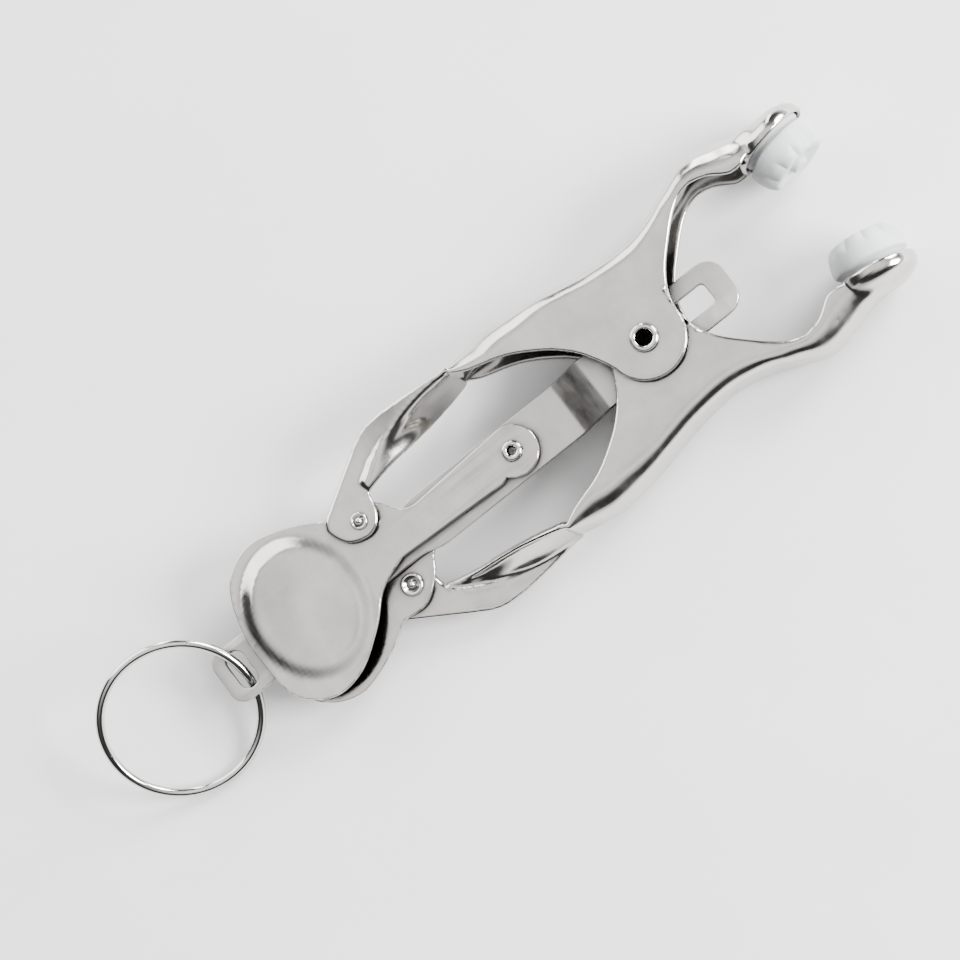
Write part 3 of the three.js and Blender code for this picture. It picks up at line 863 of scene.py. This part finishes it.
# ------------------------------------------------------------------ floor, light and camera
def stage():
    """A plain pale sheet of paper under the clamp."""
    bm = bmesh.new()
    bmesh.ops.create_grid(bm, x_segments=1, y_segments=1, size=1.5)
    floor = new_object("floor", bm)
    material, tree, shader = nodes_of("paper")
    tone = ramp(tree, noise(tree, 60, 3).outputs["Fac"], [(0.3, grey(0.86)), (0.7, grey(0.9))])
    tree.links.new(tone.outputs["Color"], shader.inputs["Base Color"])
    shader.inputs["Roughness"].default_value = 0.75
    floor.data.materials.append(material)


def area_light(name, where, size, energy, size_y=None):
    """A soft light at where, aimed at the middle of the frame."""
    light = bpy.data.lights.new(name, "AREA")
    light.shape = "RECTANGLE"
    light.size = size
    light.size_y = size_y or size
    light.energy = energy
    obj = bpy.data.objects.new(name, light)
    obj.location = where
    obj.rotation_euler = (Vector((0, 0, 0)) - Vector(where)).to_track_quat("-Z", "Y").to_euler()
    bpy.context.collection.objects.link(obj)


def lights():
    """Soft area lights and a graded sky, whose dark band gives the dark lines on the bends."""
    area_light("soft_back", (-0.2, 0.62, 0.42), 0.6, 6.0)
    area_light("soft_front", (0.6, 0.15, 0.36), 0.3, 9.0)
    area_light("soft_right", (0.5, -0.32, 0.34), 0.3, 14.0)
    area_light("rim_strip", (0.2, 0.55, 0.16), 0.1, 1.5, size_y=0.5)
    world = bpy.data.worlds.new("studio")
    bpy.context.scene.world = world
    world.use_nodes = True
    tree = world.node_tree
    sky = tree.nodes.new("ShaderNodeTexCoord")
    split = tree.nodes.new("ShaderNodeSeparateXYZ")
    tree.links.new(sky.outputs["Generated"], split.inputs["Vector"])
    tone = ramp(tree, split.outputs["Z"], [
        (0.0, grey(0.7)), (0.1, grey(0.6)), (0.22, grey(0.02)), (0.68, grey(0.02)), (0.8, grey(0.3)),
        (0.9, grey(0.72)), (0.97, grey(1.0)), (1.0, grey(0.7))])
    tree.links.new(tone.outputs["Color"], tree.nodes["Background"].inputs["Color"])
    tree.nodes["Background"].inputs["Strength"].default_value = 1.9


def camera():
    """Above the clamp's side, tilted by 13.5 degrees, with the jaws pointing up to the right."""
    tilt = math.radians(13.5)
    azimuth = math.radians(29.7)
    heading = math.radians(38.6)
    back = Vector((
        math.sin(azimuth) * math.sin(tilt), -math.cos(azimuth) * math.sin(tilt), math.cos(tilt)))
    axis = Vector((1, 0, 0))
    axis = (axis - back * axis.dot(back)).normalized()
    other = back.cross(axis)
    right = axis * math.cos(heading) - other * math.sin(heading)
    up = axis * math.sin(heading) + other * math.cos(heading)
    distance, field = 0.32, 0.1        # metres, field is the width that the picture takes in
    data = bpy.data.cameras.new("camera")
    data.lens = data.sensor_width * distance / field
    data.clip_start = 0.01
    data.clip_end = 10
    obj = bpy.data.objects.new("camera", data)
    bpy.context.collection.objects.link(obj)
    aim = (Vector(CAD_BOX[0]) + Vector(CAD_BOX[1])) / 2
    turn = Matrix((right, up, back)).transposed()
    obj.matrix_world = Matrix.Translation(aim + back * distance) @ turn.to_4x4()
    bpy.context.scene.camera = obj


stage()
lights()
camera()
